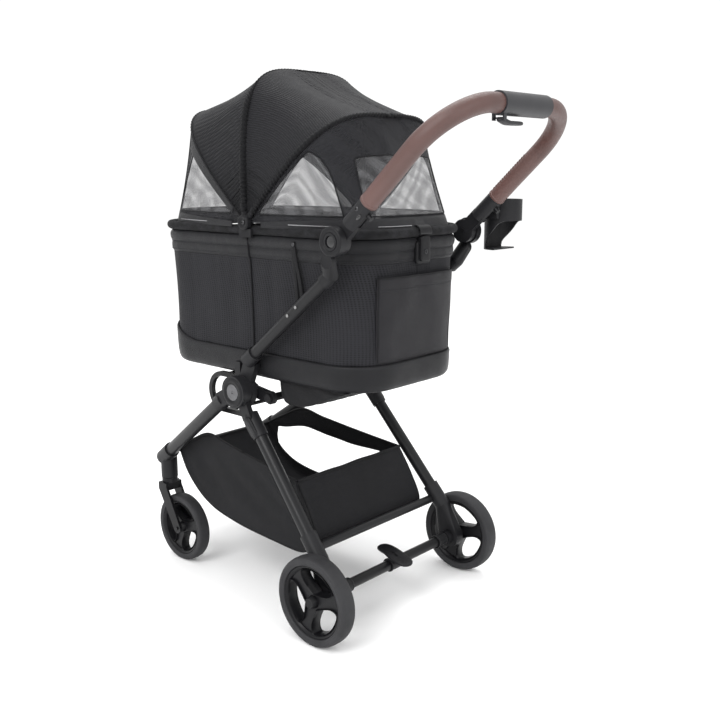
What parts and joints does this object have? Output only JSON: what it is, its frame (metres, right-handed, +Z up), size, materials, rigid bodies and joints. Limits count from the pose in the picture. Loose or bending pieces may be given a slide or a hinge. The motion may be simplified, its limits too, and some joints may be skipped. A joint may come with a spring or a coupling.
{
  "type": "pet stroller",
  "caption": "Folding pet stroller with a lift-off mesh carrier, domed canopy, U-shaped stitched handle, cup holder, swivel casters and an under-basket.",
  "frame": {"origin": "on the floor, under the middle of the whole object's box", "axes": "+X to the stroller's left, +Y to the rear (handle end), +Z up"},
  "size_m": [0.5444, 0.8812, 1.085],
  "materials": {
    "frame_metal": "black powder coat, fine satin texture",
    "frame_plastic": "charcoal moulded plastic with a fine spark texture",
    "pin_cap": "polished dark cap",
    "rivet_metal": "bright steel rivet heads",
    "axle_steel": "turned steel axle",
    "tyre_rubber": "dark grey foam rubber with a fine diamond tread",
    "rim_plastic": "black moulded three-spoke rim",
    "basket_cloth": "black woven polyester",
    "sling_cloth": "black gathered polyester",
    "carrier_mesh": "charcoal spacer mesh",
    "rim_webbing": "coarse black woven cover",
    "base_leatherette": "soft black leatherette",
    "cushion_cloth": "grey padded cloth",
    "pocket_cloth": "smooth black coated cloth",
    "canopy_cloth": "black ribbed canopy cloth",
    "canopy_mesh": "grey see-through mesh",
    "bow_plastic": "black flat bow",
    "handle_metal": "dark grey tube",
    "grip_leather": "brown stitched leather",
    "console_plastic": "grey soft-touch plastic",
    "cup_plastic": "smooth dark plastic"
  },
  "bodies": {
    "chassis": {"front_leg_left": "frame_metal", "front_leg_right": "frame_metal", "front_knuckles": "frame_plastic", "caster_housings": "frame_plastic", "front_crossbar": "frame_metal", "basket": "basket_cloth"},
    "caster_left": {"caster_fork_left": "frame_plastic"},
    "caster_right": {"caster_fork_right": "frame_plastic"},
    "front_wheel_left": {"front_rim_left": "rim_plastic", "front_tyre_left": "tyre_rubber"},
    "front_wheel_right": {"front_rim_right": "rim_plastic", "front_tyre_right": "tyre_rubber"},
    "rear_legs": {"rear_leg_left": "frame_metal", "rear_leg_right": "frame_metal", "rear_knuckles": "frame_plastic", "rear_housing_left": "frame_plastic", "rear_housing_right": "frame_plastic", "rear_crossbar": "frame_metal", "rear_axles": "axle_steel"},
    "rear_wheel_left": {"rear_rim_left": "rim_plastic", "rear_tyre_left": "tyre_rubber"},
    "rear_wheel_right": {"rear_rim_right": "rim_plastic", "rear_tyre_right": "tyre_rubber"},
    "brake": {"brake_bar": "frame_metal", "brake_pedal": "frame_plastic"},
    "upper_frame": {"upper_tube_left": "frame_metal", "upper_tube_right": "frame_metal", "upper_knuckles": "frame_plastic", "hub_pins": "pin_cap", "elbow_left": "frame_plastic", "elbow_right": "frame_plastic", "frame_rivets": "rivet_metal", "front_cradle_bar": "frame_metal", "rear_cradle_bar": "frame_plastic", "under_sling": "sling_cloth"},
    "pivot_button_left": {"pivot_button_left": "frame_plastic"},
    "pivot_button_right": {"pivot_button_right": "frame_plastic"},
    "handle": {"handle_bar": "handle_metal", "grip_left": "grip_leather", "grip_right": "grip_leather", "arm_left": "frame_plastic", "arm_right": "frame_plastic", "console": "console_plastic", "cup_bracket": "frame_plastic"},
    "fold_button": {"fold_button": "console_plastic"},
    "squeeze_lever": {"squeeze_lever": "console_plastic"},
    "cup": {"cup_holder": "cup_plastic"},
    "carrier": {"carrier_shell": "carrier_mesh", "carrier_rim": "rim_webbing", "carrier_base": "base_leatherette", "carrier_cushion": "cushion_cloth", "rear_pocket": "pocket_cloth", "canopy_hinges": "frame_plastic", "mid_bow": "bow_plastic", "canopy_roof_front": "canopy_cloth", "canopy_roof_rear": "canopy_cloth"},
    "canopy_front": {"front_bow": "bow_plastic", "canopy_front_panel": "canopy_mesh"},
    "canopy_rear": {"rear_bow": "bow_plastic", "canopy_rear_panel": "canopy_mesh"}
  },
  "joints": [
    {"name": "frame_fold", "type": "hinge", "parent": "chassis", "child": "upper_frame", "pos_m": [0.02025, -0.1056, 0.45], "axis": [1, 0, 0], "range_deg": [0, 22]},
    {"name": "rear_leg_fold", "type": "hinge", "parent": "chassis", "child": "rear_legs", "pos_m": [0.02025, -0.1056, 0.45], "axis": [-1, 0, 0], "range_deg": [0, 45], "deforming": ["basket"]},
    {"name": "caster_swivel_left", "type": "hinge", "parent": "chassis", "child": "caster_left", "pos_m": [0.17025, -0.4106, 0.2], "axis": [0, 0, 1], "continuous": true},
    {"name": "front_wheel_spin_left", "type": "hinge", "parent": "caster_left", "child": "front_wheel_left", "pos_m": [0.17025, -0.3626, 0.078], "axis": [1, 0, 0], "continuous": true},
    {"name": "rear_wheel_spin_left", "type": "hinge", "parent": "rear_legs", "child": "rear_wheel_left", "pos_m": [0.25275, 0.1484, 0.089], "axis": [1, 0, 0], "continuous": true},
    {"name": "pivot_button_press_left", "type": "slide", "parent": "upper_frame", "child": "pivot_button_left", "axis": [-1, 0, 0], "range_m": [0, 0.003], "stiffness_N_per_m": 600, "springref_m": -0.002},
    {"name": "caster_swivel_right", "type": "hinge", "parent": "chassis", "child": "caster_right", "pos_m": [-0.12975, -0.4106, 0.2], "axis": [0, 0, 1], "continuous": true},
    {"name": "front_wheel_spin_right", "type": "hinge", "parent": "caster_right", "child": "front_wheel_right", "pos_m": [-0.12975, -0.3626, 0.078], "axis": [1, 0, 0], "continuous": true},
    {"name": "rear_wheel_spin_right", "type": "hinge", "parent": "rear_legs", "child": "rear_wheel_right", "pos_m": [-0.21225, 0.1484, 0.089], "axis": [1, 0, 0], "continuous": true},
    {"name": "pivot_button_press_right", "type": "slide", "parent": "upper_frame", "child": "pivot_button_right", "axis": [1, 0, 0], "range_m": [0, 0.003], "stiffness_N_per_m": 600, "springref_m": -0.002},
    {"name": "brake_press", "type": "hinge", "parent": "rear_legs", "child": "brake", "pos_m": [0.02025, 0.1484, 0.089], "axis": [-1, 0, 0], "range_deg": [0, 14]},
    {"name": "handle_fold", "type": "hinge", "parent": "upper_frame", "child": "handle", "pos_m": [0.02025, 0.1734, 0.766], "axis": [1, 0, 0], "range_deg": [-105, 0]},
    {"name": "fold_button_slide", "type": "slide", "parent": "handle", "child": "fold_button", "axis": [1, 0, 0], "range_m": [0, 0.008], "stiffness_N_per_m": 300, "springref_m": -0.003},
    {"name": "squeeze_lever_pull", "type": "hinge", "parent": "handle", "child": "squeeze_lever", "pos_m": [0.08625, 0.4206, 0.97232], "axis": [0, 1, 0], "range_deg": [0, 6], "stiffness_Nm_per_rad": 0.6, "springref_deg": -14.32},
    {"name": "cup_holder_lift", "type": "slide", "parent": "handle", "child": "cup", "axis": [0, 0, 1], "range_m": [0, 0.03]},
    {"name": "carrier_lift_off", "type": "slide", "parent": "upper_frame", "child": "carrier", "axis": [0, 0, 1], "range_m": [0, 0.06]},
    {"name": "canopy_front_fold", "type": "hinge", "parent": "carrier", "child": "canopy_front", "pos_m": [0.02025, -0.0826, 0.79], "axis": [-1, 0, 0], "range_deg": [0, 38], "deforming": ["canopy_roof_front"]},
    {"name": "canopy_rear_fold", "type": "hinge", "parent": "carrier", "child": "canopy_rear", "pos_m": [0.02025, -0.0826, 0.79], "axis": [1, 0, 0], "range_deg": [0, 38], "deforming": ["canopy_roof_rear"]}
  ],
  "couplings": [
    {"joint": "rear_leg_fold", "follows": "frame_fold", "ratio": 2.045}
  ]
}
